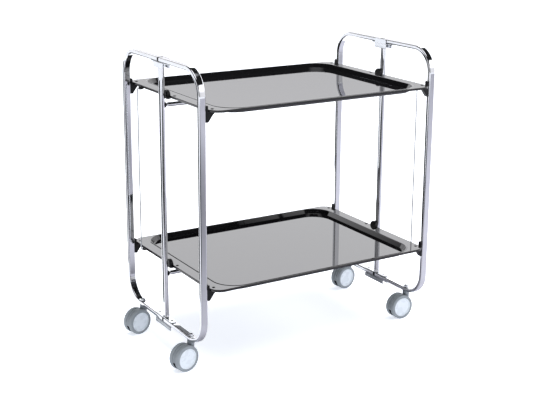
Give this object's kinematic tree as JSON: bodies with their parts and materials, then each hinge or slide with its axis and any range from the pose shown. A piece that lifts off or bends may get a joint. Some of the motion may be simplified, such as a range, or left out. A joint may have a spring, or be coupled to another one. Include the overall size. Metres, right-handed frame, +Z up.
{
  "type": "folding serving trolley",
  "caption": "Folding serving trolley: chrome tube end frames with centre hinges, tilting black trays tied by link rods, and grey swivel casters.",
  "frame": {"origin": "on the floor, in the middle of the four wheels as they trail to -X at rest", "axes": "+Z up, X along the trays with the casters trailing to -X, -Y the front long side"},
  "size_m": [0.6855, 0.434, 0.701],
  "materials": {
    "chrome_tube": "polished",
    "chrome_plate": "polished",
    "zinc_steel": "satin",
    "black_enamel": "high gloss",
    "black_plastic": "semi gloss",
    "grey_plastic": "satin",
    "grey_tyre": "matte",
    "pale_plastic": "semi gloss"
  },
  "bodies": {
    "end_frames": {"left_front_frame": "chrome_tube", "left_rear_frame": "chrome_tube", "right_front_frame": "chrome_tube", "right_rear_frame": "chrome_tube", "left_post": "chrome_tube", "right_post": "chrome_tube", "left_top_hinge": "chrome_plate", "right_top_hinge": "chrome_plate", "left_bottom_hinge": "chrome_plate", "right_bottom_hinge": "chrome_plate", "left_bottom_strap": "zinc_steel", "right_bottom_strap": "zinc_steel", "hinge_pins": "chrome_plate", "tube_plugs": "black_plastic", "bar_bushes": "black_plastic", "caster_stems": "zinc_steel", "caster_nuts": "chrome_plate"},
    "upper_tray_body": {"upper_tray": "black_enamel", "upper_bar": "chrome_tube", "upper_bar_saddles": "black_plastic", "upper_corner_catches": "black_plastic", "upper_centre_catches": "black_plastic", "upper_tray_rivets": "black_plastic", "upper_rod_blocks": "black_plastic"},
    "lower_tray_body": {"lower_tray": "black_enamel", "lower_bar": "chrome_tube", "lower_bar_saddles": "black_plastic", "lower_corner_catches": "black_plastic", "lower_centre_catches": "black_plastic", "lower_tray_rivets": "black_plastic", "lower_rod_blocks": "black_plastic"},
    "left_link": {"left_link_rod": "chrome_plate"},
    "right_link": {"right_link_rod": "chrome_plate"},
    "front_left_caster": {"front_left_hood": "grey_plastic", "front_left_axle": "zinc_steel"},
    "front_left_front_wheel": {"front_left_front_tyre": "grey_tyre", "front_left_front_hub": "pale_plastic"},
    "front_left_rear_wheel": {"front_left_rear_tyre": "grey_tyre", "front_left_rear_hub": "pale_plastic"},
    "rear_left_caster": {"rear_left_hood": "grey_plastic", "rear_left_axle": "zinc_steel"},
    "rear_left_front_wheel": {"rear_left_front_tyre": "grey_tyre", "rear_left_front_hub": "pale_plastic"},
    "rear_left_rear_wheel": {"rear_left_rear_tyre": "grey_tyre", "rear_left_rear_hub": "pale_plastic"},
    "front_right_caster": {"front_right_hood": "grey_plastic", "front_right_axle": "zinc_steel"},
    "front_right_front_wheel": {"front_right_front_tyre": "grey_tyre", "front_right_front_hub": "pale_plastic"},
    "front_right_rear_wheel": {"front_right_rear_tyre": "grey_tyre", "front_right_rear_hub": "pale_plastic"},
    "rear_right_caster": {"rear_right_hood": "grey_plastic", "rear_right_axle": "zinc_steel"},
    "rear_right_front_wheel": {"rear_right_front_tyre": "grey_tyre", "rear_right_front_hub": "pale_plastic"},
    "rear_right_rear_wheel": {"rear_right_rear_tyre": "grey_tyre", "rear_right_rear_hub": "pale_plastic"}
  },
  "joints": [
    {"name": "upper_tray_tilt", "type": "hinge", "parent": "end_frames", "child": "upper_tray_body", "pos_m": [0.02, 0, 0.5915], "axis": [1, 0, 0], "range_deg": [0, 36]},
    {"name": "lower_tray_tilt", "type": "hinge", "parent": "end_frames", "child": "lower_tray_body", "pos_m": [0.02, 0, 0.1885], "axis": [1, 0, 0], "range_deg": [0, 36]},
    {"name": "left_link_pivot", "type": "hinge", "parent": "upper_tray_body", "child": "left_link", "pos_m": [-0.279, 0.154, 0.604], "axis": [1, 0, 0], "range_deg": [-36, 0]},
    {"name": "right_link_pivot", "type": "hinge", "parent": "upper_tray_body", "child": "right_link", "pos_m": [0.319, -0.154, 0.604], "axis": [1, 0, 0], "range_deg": [-36, 0]},
    {"name": "front_left_swivel", "type": "hinge", "parent": "end_frames", "child": "front_left_caster", "pos_m": [-0.29, -0.127, 0.05], "axis": [0, 0, 1], "continuous": true},
    {"name": "front_left_front_wheel_spin", "type": "hinge", "parent": "front_left_caster", "child": "front_left_front_wheel", "pos_m": [-0.30963, -0.13082, 0.031], "axis": [-0.1908, 0.9816, 0], "continuous": true},
    {"name": "front_left_rear_wheel_spin", "type": "hinge", "parent": "front_left_caster", "child": "front_left_rear_wheel", "pos_m": [-0.30963, -0.13082, 0.031], "axis": [-0.1908, 0.9816, 0], "continuous": true},
    {"name": "rear_left_swivel", "type": "hinge", "parent": "end_frames", "child": "rear_left_caster", "pos_m": [-0.29, 0.127, 0.05], "axis": [0, 0, 1], "continuous": true},
    {"name": "rear_left_front_wheel_spin", "type": "hinge", "parent": "rear_left_caster", "child": "rear_left_front_wheel", "pos_m": [-0.30949, 0.1225, 0.031], "axis": [-0.225, 0.9744, 0], "continuous": true},
    {"name": "rear_left_rear_wheel_spin", "type": "hinge", "parent": "rear_left_caster", "child": "rear_left_rear_wheel", "pos_m": [-0.30949, 0.1225, 0.031], "axis": [-0.225, 0.9744, 0], "continuous": true},
    {"name": "front_right_swivel", "type": "hinge", "parent": "end_frames", "child": "front_right_caster", "pos_m": [0.33, -0.127, 0.05], "axis": [0, 0, 1], "continuous": true},
    {"name": "front_right_front_wheel_spin", "type": "hinge", "parent": "front_right_caster", "child": "front_right_front_wheel", "pos_m": [0.31, -0.12665, 0.031], "axis": [0.0175, 0.9998, 0], "continuous": true},
    {"name": "front_right_rear_wheel_spin", "type": "hinge", "parent": "front_right_caster", "child": "front_right_rear_wheel", "pos_m": [0.31, -0.12665, 0.031], "axis": [0.0175, 0.9998, 0], "continuous": true},
    {"name": "rear_right_swivel", "type": "hinge", "parent": "end_frames", "child": "rear_right_caster", "pos_m": [0.33, 0.127, 0.05], "axis": [0, 0, 1], "continuous": true},
    {"name": "rear_right_front_wheel_spin", "type": "hinge", "parent": "rear_right_caster", "child": "rear_right_front_wheel", "pos_m": [0.31019, 0.12422, 0.031], "axis": [-0.1392, 0.9903, 0], "continuous": true},
    {"name": "rear_right_rear_wheel_spin", "type": "hinge", "parent": "rear_right_caster", "child": "rear_right_rear_wheel", "pos_m": [0.31019, 0.12422, 0.031], "axis": [-0.1392, 0.9903, 0], "continuous": true}
  ],
  "couplings": [
    {"joint": "lower_tray_tilt", "follows": "upper_tray_tilt", "ratio": 1},
    {"joint": "left_link_pivot", "follows": "upper_tray_tilt", "ratio": -1},
    {"joint": "right_link_pivot", "follows": "upper_tray_tilt", "ratio": -1}
  ]
}
